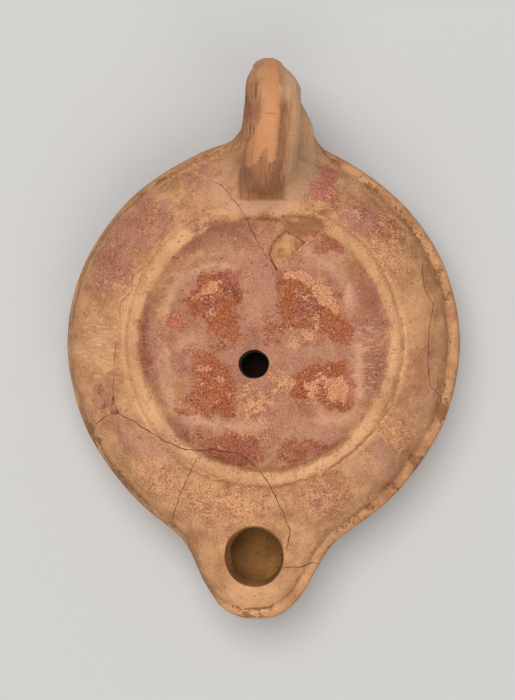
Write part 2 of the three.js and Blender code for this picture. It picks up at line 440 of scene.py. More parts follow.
def addNode(kind, inputs=None, **settings):
    # each input is another node's output, which gets joined, or a value, which is set
    node = current["tree"].nodes.new(kind)
    for name, value in settings.items():
        setattr(node, name, value)
    for name, value in (inputs or {}).items():
        if isinstance(value, bpy.types.NodeSocket):
            join(value, node.inputs[name])
        else:
            node.inputs[name].default_value = value
    return node


def calc(operation, a, b, clamp=False):
    return addNode("ShaderNodeMath", {0: a, 1: b}, operation=operation, use_clamp=clamp).outputs[0]


def plus(a, b, clamp=False):
    return calc("ADD", a, b, clamp)


def minus(a, b):
    return calc("SUBTRACT", a, b)


def times(a, b, clamp=False):
    return calc("MULTIPLY", a, b, clamp)


def ramp(value, low, high, low2=0.0, high2=1.0):
    inputs = {"Value": value, "From Min": low, "From Max": high, "To Min": low2, "To Max": high2}
    return addNode("ShaderNodeMapRange", inputs, interpolation_type="SMOOTHSTEP").outputs[0]


def blend(factor, a, b, kind="MIX"):
    # the colour sockets of this node are numbered 6 and 7, and its colour output 2
    inputs = {0: factor, 6: a, 7: b}
    return addNode("ShaderNodeMix", inputs, data_type="RGBA", blend_type=kind).outputs[2]


def grey(value):
    return addNode("ShaderNodeCombineColor", {0: value, 1: value, 2: value}).outputs[0]


def noiseNode(place, size, detail=2.0, rough=0.55):
    scale = calc("DIVIDE", 1.0, size) if isinstance(size, bpy.types.NodeSocket) else 1 / size
    inputs = {"Vector": place, "Scale": scale, "Detail": detail, "Roughness": rough}
    return addNode("ShaderNodeTexNoise", inputs).outputs["Fac"]


def stretched(place, x, y, z):
    return addNode("ShaderNodeVectorMath", {0: place, 1: (x, y, z)}, operation="MULTIPLY").outputs[0]


def painted(name):
    return addNode("ShaderNodeAttribute", attribute_name=name).outputs["Fac"]


def placeInMm():
    place = addNode("ShaderNodeTexCoord").outputs["Object"]
    return stretched(place, 1 / mm, 1 / mm, 1 / mm)


def newGroup(name, inputs, outputs):
    tree = current["tree"] = bpy.data.node_groups.new(name, "ShaderNodeTree")
    for side, sockets in (("INPUT", inputs), ("OUTPUT", outputs)):
        for socket, kind in sockets.items():
            tree.interface.new_socket(socket, in_out=side, socket_type="NodeSocket" + kind)
    return tree, tree.nodes.new("NodeGroupInput").outputs, tree.nodes.new("NodeGroupOutput").inputs


def useGroup(group, inputs):
    return addNode("ShaderNodeGroup", inputs, node_tree=group).outputs


# effects shared by the materials


def makeFlaking():
    # where a coat of slip still clings: ragged patches that break up into grains at their edges
    inputs = {"Place": "Vector"}
    inputs |= dict.fromkeys(("Coverage", "Patch", "Grain", "Breakup", "Softness"), "Float")
    tree, given, result = newGroup("flaking", inputs, {"Mask": "Float", "Rim": "Float"})
    coarse = ramp(noiseNode(given["Place"], given["Patch"], 3.0, 0.6), 0.28, 0.72)
    fine = ramp(noiseNode(given["Place"], given["Grain"], 2.0, 0.6), 0.28, 0.72)
    steady = times(coarse, minus(1.0, given["Breakup"]))
    both = plus(steady, times(fine, given["Breakup"]))
    level = minus(plus(both, given["Coverage"]), 1.0)
    low = times(given["Softness"], -1.0)
    mask = ramp(level, low, given["Softness"])
    join(mask, result["Mask"])
    # the thin shaded line just outside each patch
    rim = ramp(level, minus(low, 0.07), low)
    join(times(rim, minus(1.0, mask)), result["Rim"])
    return tree


def makeGrit():
    # grains or pits scattered over the surface
    inputs = {"Place": "Vector", "Size": "Float", "Amount": "Float"}
    tree, given, result = newGroup("grit", inputs, {"Mask": "Float"})
    scale = calc("DIVIDE", 1.0, given["Size"])
    cells = addNode("ShaderNodeTexVoronoi", {"Vector": given["Place"], "Scale": scale, "Randomness": 1.0})
    shade = addNode("ShaderNodeSeparateColor", {"Color": cells.outputs["Color"]}).outputs[0]
    chosen = calc("LESS_THAN", shade, given["Amount"])
    ragged = noiseNode(given["Place"], 0.3)
    reach = plus(cells.outputs["Distance"], times(ragged, 0.9))
    spot = ramp(reach, 0.66, 0.95, 1.0, 0.0)
    join(times(spot, chosen), result["Mask"])
    return tree


def makeClay():
    # bare fired clay: buff and orange clouds with a fine grain
    inputs = {"Place": "Vector", "Cloud": "Float", "Light": "Color", "Mid": "Color", "Deep": "Color"}
    tree, given, result = newGroup("clay", inputs, {"Colour": "Color", "Height": "Float"})
    cloud = noiseNode(given["Place"], given["Cloud"], 4.0, 0.6)
    grain = noiseNode(given["Place"], 0.42, 3.0, 0.75)
    base = blend(ramp(cloud, 0.36, 0.56), given["Deep"], given["Mid"])
    base = blend(ramp(cloud, 0.5, 0.68), base, given["Light"])
    fine = grey(ramp(grain, 0.3, 0.7, 0.88, 1.1))
    join(blend(1.0, base, fine, "MULTIPLY"), result["Colour"])
    join(grain, result["Height"])
    return tree


flaking, grit, clay = makeFlaking(), makeGrit(), makeClay()


# materials

slip = {
    "clayLight": colour(209, 155, 107),
    "clayMid": colour(196, 142, 97),
    "clayDeep": colour(172, 118, 77),
    "ridge": colour(226, 168, 120),
    "stroke": colour(226, 176, 138),
    # pale flecks and grains, and painted highlights on lit edges
    "fleckAndHighlight": colour(211, 146, 104),
    "mauve": colour(178, 119, 96),
    "mauveDeep": colour(158, 99, 77),
    "red": colour(166, 86, 44),
    "redDeep": colour(147, 79, 47),
    "deep": colour(132, 70, 52),
    "orange": colour(163, 86, 38),
    "rose": colour(184, 104, 84),
    "haze": colour(204, 153, 120),
    # brown stains, and painted shade on the discus's upper wall
    "brownAndShade": colour(136, 82, 48),
    "chip": colour(150, 96, 58),
    # the front of the handle's foot, and painted shade in the gully right of the rib
    "front": colour(154, 102, 66),
    "worn": colour(205, 135, 85),
    "dull": colour(202, 158, 122),
    "edge": colour(160, 110, 68),
    "pit": colour(116, 70, 46),
    # painted shade: the near black of the hollow's depths
    "paintedShadeInside": colour(44, 30, 22),
}
coats = {
    # each flaking coat: the size of its patches and grains in mm, how far it breaks up into
    # grains, how soft its edges are, and how much it hides what is under it
    "mauve": (3.2, 0.6, 0.36, 0.3, 0.85),
    "red": (2.2, 0.46, 0.37, 0.14, 0.95),
    "deep": (2, 0.5, 0.4, 0.2, 0.62),
    "brownAndShade": (2.6, 0.8, 0.4, 0.4, 0.55),
    "flecksAndHighlights": (2.2, 0.44, 0.42, 0.035, 0.8),
    "edge": (4, 0.9, 0.4, 0.4, 0.75),
    "chips": (1.8, 0.5, 0.4, 0.08, 0.8),
}
wear = {
    "redSpread": 0.24,  # how much softer the red's edges are where it is orange
    "redRim": 0.16,
    "fleckRim": 0.5,
    "grainSize": 0.42,
    "grainShare": 0.28,
    "grains": 0.42,
    "pitSize": 0.6,
    "pitShare": 0.018,
    "pits": 0.55,
    "worn": 0.95,
    "shadeSize": 0.36,
    "shade": 0.07,  # light and dark grain everywhere, and more of it where the slip is granular
    "shadeGranular": 0.22,
    "roughness": 0.88,
    "bump": 0.00013,  # metres
}


def newMaterial(name):
    made = bpy.data.materials.new(name)
    made.use_nodes = True
    current["tree"] = made.node_tree
    return made, made.node_tree.nodes["Principled BSDF"], placeInMm()


def addBump(shader, height, strength, distance):
    bump = addNode("ShaderNodeBump", {"Height": height, "Strength": strength, "Distance": distance})
    join(bump.outputs[0], shader.inputs["Normal"])


def makeSlippedClay():
    made, shader, place = newMaterial("slippedClay")
    shades = {"Light": slip["clayLight"], "Mid": slip["clayMid"], "Deep": slip["clayDeep"]}
    ground = useGroup(clay, {"Place": place, "Cloud": 5.0} | shades)
    bare = painted("bare")
    look = blend(ramp(bare, 0.3, 1.0, 0.0, 0.5), ground["Colour"], slip["clayLight"])
    look = blend(ramp(bare, 0.95, 1.4, 0.0, 0.8), look, slip["ridge"])

    def flakes(coat, coverage, softness=None):
        patch, grain, breakup, crisp = coats[coat][:4]
        inputs = {"Place": place, "Coverage": coverage, "Patch": patch, "Grain": grain}
        inputs |= {"Breakup": breakup, "Softness": crisp if softness is None else softness}
        return useGroup(flaking, inputs)

    def lay(under, mask, share, over):
        return blend(times(mask, share), under, over)

    def opacity(coat):
        return coats[coat][-1]

    # a thin mauve film, thicker where it was brushed on twice
    mauve = flakes("mauve", minus(painted("mauve"), times(bare, 0.7)))["Mask"]
    cloudy = noiseNode(stretched(place, 1.0, 0.6, 1), 3.0, 4.0, 0.6)
    thick = ramp(painted("mauve"), 1.04, 1.2)
    thick = calc("MAXIMUM", ramp(cloudy, 0.44, 0.62), thick)
    look = lay(look, mauve, opacity("mauve"), blend(thick, slip["mauve"], slip["mauveDeep"]))

    # milky deposit, and short pale strokes
    milk = ramp(noiseNode(place, 2.6, 3.0, 0.6), 0.3, 0.62, 0.55, 0.95)
    haze = times(painted("haze"), milk, True)
    look = blend(haze, look, slip["haze"])
    strokeLines = noiseNode(stretched(place, 0.32, 2.4, 1), 1.0, 2.0, 0.5)
    strokes = times(painted("strokes"), ramp(strokeLines, 0.54, 0.62, 0.0, 0.75))
    look = blend(strokes, look, slip["stroke"])

    # red slip, running to orange and rose, deepest where it is least worn
    orange = painted("orange")
    spread = plus(times(orange, wear["redSpread"]), coats["red"][3])
    redFlakes = flakes("red", minus(painted("red"), times(bare, 0.6)), spread)
    red = redFlakes["Mask"]
    tone = noiseNode(place, 1.8, 4.0, 0.7)
    redColour = blend(ramp(tone, 0.42, 0.6), slip["red"], slip["redDeep"])
    orangeColour = blend(ramp(tone, 0.45, 0.62), slip["orange"], slip["red"])
    redColour = blend(ramp(orange, 0.1, 0.9, 0.0, 0.9), redColour, orangeColour)
    redColour = blend(ramp(painted("rose"), 0.1, 0.9, 0.0, 0.85), redColour, slip["rose"])
    deep = flakes("deep", painted("deep"))["Mask"]
    redColour = lay(redColour, deep, opacity("deep"), slip["deep"])
    look = lay(look, redFlakes["Rim"], wear["redRim"], slip["redDeep"])
    look = lay(look, red, opacity("red"), redColour)

    # grains in the slip, brown stains and painted shade, and flecks rubbed back to pale clay with painted
    # highlights on lit edges
    both = calc("MAXIMUM", times(mauve, 0.5), red)
    clusters = ramp(noiseNode(place, 3.4, 2.0), 0.42, 0.62)
    amount = times(times(both, clusters), wear["grainShare"])
    grains = useGroup(grit, {"Place": place, "Size": wear["grainSize"], "Amount": amount})["Mask"]
    look = lay(look, grains, wear["grains"], slip["fleckAndHighlight"])
    look = lay(look, flakes("brownAndShade", painted("brownAndShade"))["Mask"], opacity("brownAndShade"), slip["brownAndShade"])
    # flecks rubbed back to pale clay, and painted highlights along lit edges
    fleckAndHighlightFlakes = flakes("flecksAndHighlights", times(painted("flecksAndHighlights"), 0.62))
    flecksAndHighlights = fleckAndHighlightFlakes["Mask"]
    look = lay(look, fleckAndHighlightFlakes["Rim"], wear["fleckRim"], slip["brownAndShade"])
    look = lay(look, flecksAndHighlights, opacity("flecksAndHighlights"), slip["fleckAndHighlight"])

    # the handle, streaked along its ring
    streaks = noiseNode(stretched(place, 1.7, 0.2, 0.2), 0.8, 3.0, 0.6)
    # the front layer also lays painted shade into the gully right of the rib
    for name, shade, low, high, low2, high2 in (
        ("dull", "dull", 0.3, 0.6, 0.9, 0.6),
        ("front", "front", 0.34, 0.6, 0.6, 1.0),
        ("flank", "redDeep", 0.42, 0.58, 0.15, 0.85),
    ):
        streaked = times(painted(name), ramp(streaks, low, high, low2, high2))
        look = blend(streaked, look, slip[shade])
    worn = painted("worn")
    wornColour = blend(ramp(streaks, 0.34, 0.8), slip["worn"], slip["clayMid"])
    look = lay(look, worn, wear["worn"], wornColour)

    # the steep sides painted darker, chips and pits
    edge = flakes("edge", times(painted("edge"), 0.9))["Mask"]
    look = lay(look, edge, opacity("edge"), slip["edge"])
    chips = flakes("chips", painted("chips"))["Mask"]
    chipColour = blend(ramp(tone, 0.4, 0.6), slip["chip"], slip["brownAndShade"])
    look = lay(look, chips, opacity("chips"), chipColour)
    inputs = {"Place": stretched(place, 1, 1.3, 1), "Size": wear["pitSize"], "Amount": wear["pitShare"]}
    pits = useGroup(grit, inputs)["Mask"]
    look = lay(look, pits, wear["pits"], slip["pit"])

    # grain, strong where the slip is granular, faint on the deposit and on the worn handle
    granular = plus(times(red, 0.5), times(painted("flecksAndHighlights"), 0.9), True)
    granular = times(granular, minus(1.0, times(haze, 0.7)))
    swing = plus(times(granular, wear["shadeGranular"]), wear["shade"])
    swing = times(swing, minus(1.0, times(worn, 0.6)))
    fine = noiseNode(place, wear["shadeSize"], 1.6, 0.7)
    for kind, middle, share in (("MULTIPLY", 1.0, 0.5), ("ADD", 0.0, 0.16)):
        half = times(swing, share)
        shade = ramp(fine, 0.36, 0.64, minus(middle, half), plus(middle, half))
        look = blend(1.0, look, grey(shade), kind)
    join(look, shader.inputs["Base Color"])

    rough = minus(wear["roughness"], times(both, 0.12))
    rough = plus(rough, times(haze, 0.06))
    join(minus(rough, times(worn, 0.2)), shader.inputs["Roughness"])
    height = times(ground["Height"], 0.5)
    for raised, share in ((both, 0.4), (grains, 0.45), (flecksAndHighlights, 0.7), (chips, -1.2), (pits, -0.9)):
        height = plus(height, times(raised, share))
    addBump(shader, height, 0.8, wear["bump"])
    return made


def makePlainClay(name, light, mid, deep, cloud, shadeInside=0.0):
    made, shader, place = newMaterial(name)
    ground = useGroup(clay, {"Place": place, "Cloud": cloud, "Light": light, "Mid": mid, "Deep": deep})
    pits = useGroup(grit, {"Place": place, "Size": 0.7, "Amount": 0.14})["Mask"]
    look = blend(times(pits, 0.6), ground["Colour"], slip["pit"])
    # painted shade darkening the hollow away from the wick hole
    look = blend(times(painted("paintedShadeInside"), shadeInside), look, slip["paintedShadeInside"])
    join(look, shader.inputs["Base Color"])
    shader.inputs["Roughness"].default_value = 0.9
    addBump(shader, minus(ground["Height"], times(pits, 0.6)), 0.6, 0.00015)
    return made


slippedClay = makeSlippedClay()
freshClay = makePlainClay("freshClay", colour(206, 152, 104), colour(190, 136, 90), colour(158, 106, 66), 2.0)
brokenClay = makePlainClay("brokenClay", colour(186, 128, 84), colour(156, 102, 64), colour(126, 80, 50), 2.4)
# the inside, painted dark with shade away from the wick hole
insideClay = makePlainClay(
    "insideClay", colour(178, 122, 64), colour(158, 106, 52), colour(134, 86, 42), 12.0, 0.94
)
crackDirt = makePlainClay("crackDirt", colour(150, 98, 62), colour(122, 76, 48), colour(92, 56, 36), 2.0)
lamp.data.materials.clear()
lamp.data.materials.append(slippedClay)
print("materials made")

# the hollow inside and the two holes that open into it

hollow = {"radius": 35.2, "floor": 4, "roof": 3.4, "steps": 120}
holes = {
    # each hole: middle, half sizes along X and Y, how much it narrows below, and towards which side
    "filling": {"middle": (-2, -4.2), "radius": 2.85, "length": 2.8, "lean": 0.3, "aside": (0.8, -0.8)},
    "wick": {"middle": (-2, -42.8), "radius": 5.85, "length": 6.25, "lean": 0.7, "aside": (0.8, 0.8)},
}
mouth = {"bevel": 0.3, "jitter": 0.06, "taper": 4, "steps": 72}


def makeHollow():
    floor, girth = (15, hollow["floor"]), (hollow["radius"], body["girth"])
    profile = [(0, hollow["floor"]), floor]
    profile += curvePoints(floor, (25, 5.4), (35, 9), girth, 9)
    profile += curvePoints(girth, (35, 18), (31.5, 20.6), (27, 21.6), 7)
    profile += [(24.4, 21.2), (21, 19.6), (17, body["discusHeight"] - hollow["roof"])]
    profile += [(0, discusFloor(0) - hollow["roof"])]
    obj = spun("hollow", profile, hollow["steps"])
    putBack(obj, drawNozzle(places(obj), hollow["radius"], 15, nozzle["hollowHalfAngle"]))
    return obj


def makeDrill(hole, surface):
    # a slightly uneven round tool that widens where it meets the surface
    b, radius, lean = mouth["bevel"], hole["radius"], hole["lean"]
    low, above = surface - mouth["taper"], surface + 12
    rows = [(radius - lean, hollow["floor"] + 8), (radius - lean, low), (radius, surface - b)]
    rows += [(radius + 0.12 * b, surface - 0.4 * b), (radius + 0.5 * b, surface)]
    rows += [(radius + 1.4 * b, surface + b), (radius + 1.4 * b, above)]
    drill = spun("drill", [(0, rows[0][1])] + rows + [(0, above)], mouth["steps"])
    co = places(drill)
    around = np.arctan2(co[:, 1], co[:, 0])
    uneven = 1 + mouth["jitter"] / radius * (np.sin(2 * around + 1) + 0.5 * np.sin(5 * around))
    co[:, :2] *= uneven[:, None]
    co[:, 1] *= hole["length"] / radius
    # its foot stands off to one side, so that the wall shows on the other
    deep = 1 - smooth(co[:, 2], low, surface - b)
    co[:, :2] += lean * np.array(hole["aside"]) * deep[:, None]
    putBack(drill, co + np.array([*hole["middle"], 0]))
    return drill


def surfaceAbove(obj):
    bm = bmesh.new()
    bm.from_mesh(obj.data)
    tree = BVHTree.FromBMesh(bm)
    bm.free()

    def height(x, y):
        hit = tree.ray_cast(Vector((x, y, 60)), Vector((0, 0, -1)))[0]
        return hit.z if hit else None

    return height


topOf = surfaceAbove(lamp)
inside = makeHollow()
inside.data.materials.append(insideClay)
combine(lamp, inside)
for hole in holes.values():
    drill = makeDrill(hole, topOf(*hole["middle"]))
    drill.data.materials.append(insideClay)
    combine(lamp, drill)
print("hollow done")


# the lost sherd, a chip, and cracks cut into the surface

loss = {
    # outline and height of the sherd sunk in its place, the slit on its left and a chip by the left ridge
    "corners": (
        (2.5, 14.3), (5.2, 17), (8.3, 20), (6.4, 21.3), (4.3, 22.4), (2.6, 21.2), (1.3, 19.3), (0.9, 17.6),
    ),
    "floor": 21.1,
    "slit": (
        (2.45, 14.2), (1.4, 15.6), (0.55, 17.1), (0.5, 18.4), (0.8, 20), (1.05, 20), (0.95, 18.5),
        (1.1, 17.4), (1.75, 16.2), (2.6, 14.9),
    ),
    "chip": ((-29.9, -10.3), (-29.3, -12.2), (-28.6, -13.9), (-29.6, -14.3), (-31, -14.1), (-30.3, -12.4)),
    "chipDepth": 0.7,
}
cracks = {
    "width": 0.15,
    "depth": 0.6,
    "grooveWidth": 0.16,
    "grooveDepth": 0.14,
    "wander": 0.1,
    # each line: its share of the full width, and its points seen from above
    "lines": (
        (0.8, ((-11.4, 32.7), (-8.1, 30.9), (-6.1, 28.2), (-3.6, 24.7), (-1.4, 20.4), (0.2, 17.6),
            (2.8, 15))),
        (1, ((31.9, 16.7), (31.6, 14.4), (32.1, 10.6), (33.8, 7.6), (32.8, 2.4), (32.6, -3.2), (33.1, -8.4),
            (35.8, -10.9), (36.4, -13.5))),
        (0.6, ((-29.3, 1.2), (-29.5, -2.4), (-29.7, -5.7), (-29.9, -10.9))),
        (1.1, ((-29.6, -13.9), (-31.7, -14.7), (-34.1, -16.5))),
        (1.2, ((-28.9, -13.9), (-25.9, -15.4), (-23.1, -17.2), (-19.9, -19.1), (-15.2, -21.1),
            (-10.2, -21.1), (-4.8, -22), (-1.2, -24.7))),
        (1.3, ((-1.2, -24.7), (0.8, -27.6), (2.4, -30.6), (4.3, -34.8), (5.1, -37), (4.9, -39.2),
            (4.4, -41.5))),
        (1.6, ((3.4, -44.6), (5.6, -44.6), (8, -44.7), (9.7, -44.2), (11.4, -44.6))),
        (1, ((-12.6, -21.5), (-13.6, -23.4), (-15.2, -26.7), (-17.3, -31.8), (-18.6, -36.3))),
        (1, ((-0.6, 43.4), (0.5, 43.2), (1.4, 43), (2.6, 43))),
    ),
    "grooves": (
        (0.7, ((-28.4, 4.5), (-28.5, 7.5), (-26.1, 10.4), (-25.9, 13), (-21.7, 16.7))),
    ),
}


def wandering(line, seed):
    # the line in steps of about half a millimetre, with small random turns
    steps = []
    for a, b in zip(line, line[1:]):
        a, b = Vector(a), Vector(b)
        count = max(1, round((b - a).length / 0.5))
        steps += [a.lerp(b, i / count) for i in range(count)]
    steps.append(Vector(line[-1]))
    for p in steps:
        shift = noise.noise_vector(Vector((p.x, p.y, seed * 7.7)) / 1.3)
        shift += 0.5 * noise.noise_vector(Vector((p.x, p.y, seed)) / 0.5)
        p += shift.xy * cracks["wander"] * 2
    return steps


def makeCut(line, width, depth, seed):
    # a narrow wedge along the line, fading out at both ends
    points = [(p, topOf(p.x, p.y)) for p in wandering(line, seed)]
    points = [(p, z) for p, z in points if z is not None]
    rows = [[], [], []]
    bm = bmesh.new()
    for i, (p, z) in enumerate(points):
        before, after = points[max(i - 1, 0)][0], points[min(i + 1, len(points) - 1)][0]
        across = (after - before).orthogonal().normalized()
        fade = min(1, (i + 0.6) / 4, (len(points) - i - 0.4) / 4)
        half = width * fade * (0.75 + 0.5 * noise.noise(Vector((p.x, p.y, seed * 3.1)))) / 2
        spread = half * (1 + 0.6 / depth)
        rows[0].append((*(p + across * spread), z + 0.6))
        rows[1].append((*p, z - depth * (0.4 + 0.6 * fade)))
        rows[2].append((*(p - across * spread), z + 0.6))
    loops = []
    for row in rows:
        verts = [bm.verts.new(p) for p in row]
        loops.append([bm.edges.new(pair) for pair in zip(verts, verts[1:])])
    for first, second in ((0, 1), (1, 2), (2, 0)):
        bmesh.ops.bridge_loops(bm, edges=loops[first] + loops[second])
    bmesh.ops.holes_fill(bm, edges=bm.edges, sides=3)
    bmesh.ops.recalc_face_normals(bm, faces=bm.faces)
    return newObject("cut", bm)


def dropTwins(bm):
    # two faces back to back on the same corners enclose nothing
    pairs = {}
    for face in bm.faces:
        pairs.setdefault(frozenset(face.verts), []).append(face)
    twins = [face for pair in pairs.values() if len(pair) > 1 for face in pair]
    bmesh.ops.delete(bm, geom=twins, context="FACES")


def cleanUp(obj):
    # clears the slivers left by the cuts and makes every face a triangle
    bm = bmesh.new()
    bm.from_mesh(obj.data)
    dropTwins(bm)
    bmesh.ops.remove_doubles(bm, verts=bm.verts, dist=10 * weld)
    bmesh.ops.triangulate(bm, faces=bm.faces)
    dropTwins(bm)
    bmesh.ops.recalc_face_normals(bm, faces=bm.faces)
    bm.to_mesh(obj.data)
    bm.free()


sherd = column("sherd", loss["corners"], loss["floor"], 30)
slit = column("slit", loss["slit"], 16, loss["floor"] + 0.6)
chip = column("chip", loss["chip"], topOf(-29.5, -12.6) - loss["chipDepth"], 30)
for tool, stuff in ((sherd, freshClay), (slit, crackDirt), (chip, brokenClay)):
    tool.data.materials.append(stuff)
    combine(lamp, tool)
cuts = [(share, line, cracks["width"], cracks["depth"]) for share, line in cracks["lines"]]
cuts += [(share, line, cracks["grooveWidth"], cracks["grooveDepth"]) for share, line in cracks["grooves"]]
for seed, (share, line, width, depth) in enumerate(cuts):
    cut = makeCut(line, width * share, depth, seed + 1)
    cut.data.materials.append(crackDirt)
    combine(lamp, cut)
cleanUp(lamp)
print("cracks done:", len(lamp.data.vertices), "points")

# worn slip, bare clay and deposits, painted as soft patches on the outer skin, with painted shade and painted
# highlights among them

patches = {
    # each patch: from and to along X, from and to along Y, in mm, and its strength
    "mauve": (
        (-25, 25, -25.6, 25, 1.05), (16.6, 25.4, -2, 14, 1.25), (18.6, 25.2, -12, 0, 1.2),
        (16, 23, 6, 18, 0.9), (-26.6, -20.4, -10, 12, 1.2), (-18, 2, 16.5, 25, 1.25),
        (-23, -13, -22.6, -14.4, 1.2), (-15, 2, -25.6, -17, 1.25), (-2, 19, -25.6, -13, 0.95),
        (8, 17, 14, 23, 0.85), (-37, -24, 8, 23, 0.8), (-33, -16, 16, 31, 0.82),
        (-18, -5.5, 28.5, 36.5, 0.72), (14.5, 25, 18, 29, 1.02), (6, 16, 25.4, 36.6, 1.1),
        (24.5, 35, -8, 5, 0.5), (-36, -28, -15, -5, 0.74), (-34, -19, -25, -12.5, 0.5),
        (19, 29, -26.5, -18, 0.62), (6, 19, -35.5, -27, 0.5), (26.5, 36.5, -18, -4, 0.42),
        (-5, 7, -36, -28, 0.36), (20, 34, 12, 24, 0.4), (-40, 40, -56, 56, 0.22),
    ),
    "red": (
        (-20, -15.6, 1.8, 6.6, 0.8), (11.4, 17, 5, 13.4, 0.4), (-18.4, -11, -15.4, -12, 0.6),
        (-11.5, 1, -25.4, -18, 1), (-11, -3.6, -3.4, 3.8, 0.5), (-3, 4.4, -2.4, 6.9, 0.52),
        (6.4, 15.2, 26.4, 36.6, 0.8), (21, 29.5, 18.6, 28.2, 0.7), (10, 16.6, 16.6, 22.4, 0.6),
        (-26.6, -22.4, -9, 9, 0.45), (-34, -26, 11, 21, 0.42), (-30, -20, 20, 28, 0.36),
        (-34, -30, -14, -7, 0.4), (10, 18, -33, -28, 0.34), (0, 16, -25, -19, 0.5),
        (-20, -10, -22, -17, 0.44), (-6, 4, -34, -29, 0.3),
    ),
    "deep": (
        (-9, -4.4, 8, 14, 1.1), (-13.8, -8.8, 5.6, 8.6, 0.95), (5.6, 11.6, 5.6, 9.6, 0.8),
        (12.6, 17, 0, 4, 0.6), (-11.6, -8, -9.6, -4, 0.5), (-10.5, 2, -25.2, -18, 0.55),
        (4.4, 8, -12.6, -6, 0.35), (17, 24, -8, 10, 0.3), (21, 29, 19, 28, 0.5),
    ),
    "orange": (
        (10.4, 17.4, -0.4, 7.4, 1), (-16.6, -6.4, -12, -2.6, 1), (5, 10, -10, -5, 0.5),
        (8, 17, -6.6, -2.8, 0.4), (2.4, 9.6, 6, 13.6, 0.7), (20, 30, 17, 29, 0.8), (-11, -5, 0, 7, 0.9),
    ),
    "rose": (
        (6.2, 15.2, 26.4, 36.6, 0.9), (-20, -15.6, 1.8, 6.6, 0.9), (-8, -4, 9, 15, 0.7),
        (15.4, 18.8, -14, -4, 0.8), (-14, 3, -26, -17, 0.4), (8, 18, 15, 24, 0.5), (-36, -16, 8, 32, 0.5),
    ),
    "bare": (
        (-20.2, -15.6, -13, -6.6, 0.3), (0.4, 5.6, -12, -1.4, 0.8), (-8.4, 0, -15.4, -5, 0.6),
        (3.8, 8.6, -1.6, 2.8, 0.7), (-14, -6, 25, 31.2, 0.75), (-8, 13, 24.8, 28.6, 0.8),
        (-39, -28, -10, 8.6, 0.78), (26, 34, -3, 15, 1.05), (22.6, 31.4, 13.6, 20.6, 0.9),
        (-28, -15, -32, -22, 0.55), (-18, 1, -37, -26, 0.5), (22, 30.4, -21, -13.4, 0.66),
        (-14, 10.5, -58, -36, 0.62), (-10, 7, -57.5, -46, 1.3), (4.6, 12, -53, -33, 1.25),
        (-14, -8, -50, -38, 1.05),
    ),
    "haze": (
        (-18.6, -11, -2.2, 2.4, 0.85), (-12.6, -2.4, 15, 22, 0.4), (-4.6, 2.6, 4, 16, 0.28),
        (8.6, 16.6, 13.8, 19.4, 0.6), (-10.6, -4.4, 25, 37.2, 0.9), (4, 9, 25.4, 36.6, 1.1),
        (-7, 7, 25, 28.6, 1.3), (-29, -13, -27, -15, 0.35), (15, 27, -29, -19, 0.4),
        (3, 16, -20, -15, 0.45), (16.4, 20.6, -14, 2, 0.4), (2, 16, -2.4, 0.4, 0.4),
    ),
    "strokes": (
        (17, 25, -12.5, 6, 0.62), (-38.5, -28, -9.5, 8, 0.8), (-24, -19, -8, 8, 0.35),
    ),
    "flecksAndHighlights": (
        (-28, -14, -32.6, -21, 0.95), (-19, 1, -37, -25.6, 0.9), (21.5, 31, -22, -13, 0.95),
        (6, 19, -36, -26, 0.8), (-38, -26, 8, 23, 0.6), (-30, -16, 16, 30, 0.45), (-14, -5, 1, 13, 0.5),
        (2, 17, 0, 14, 0.56), (-17, -5, -14, -3, 0.52), (4, 18, -14, -4, 0.62), (-7, 4, -18, -7, 0.9),
        (0, 7, -13, -3, 0.78), (3, 9, -1.6, 3, 1), (7.4, 10.2, 1.2, 3.4, 1.3), (12.6, 17, 2, 5, 0.25),
        (-17.4, -12.6, -14, -8.4, 0.75), (-8, 2, -22, -16.4, 0.55), (-10, -4, -15, -9, 0.55),
        (-24, 24, -24, 24, 0.3), (5, 14, 26, 36, 0.5), (20, 32, 12, 30, 0.85), (8, 22, 20, 33, 0.6),
        (-40, 40, -56, 40, 0.3),
    ),
    "chips": (
        (28.6, 33, -26, -20.6, 0.62), (24.2, 28, -31.4, -27.2, 0.68), (17, 23, -36, -32, 0.42),
        (34.4, 37.2, -16.4, -11.4, 0.72), (-37, -32, -26, -16, 0.58), (-33, -27.6, -32, -24, 0.62),
        (-28, -22, -36, -30, 0.5), (-8, 4, -56.4, -54, 0.5),
    ),
    # mostly painted shade, on the discus's upper wall and the sunk slope beside the lost sherd, partly brown stain
    "brownAndShade": (
        (3.8, 13.2, 20.4, 25.4, 1.15), (-16, 6, 20.6, 25.6, 0.6), (-14, -2, 17, 22, 0.34),
        (6.4, 14.6, 32.4, 40.6, 0.2),
    ),
}
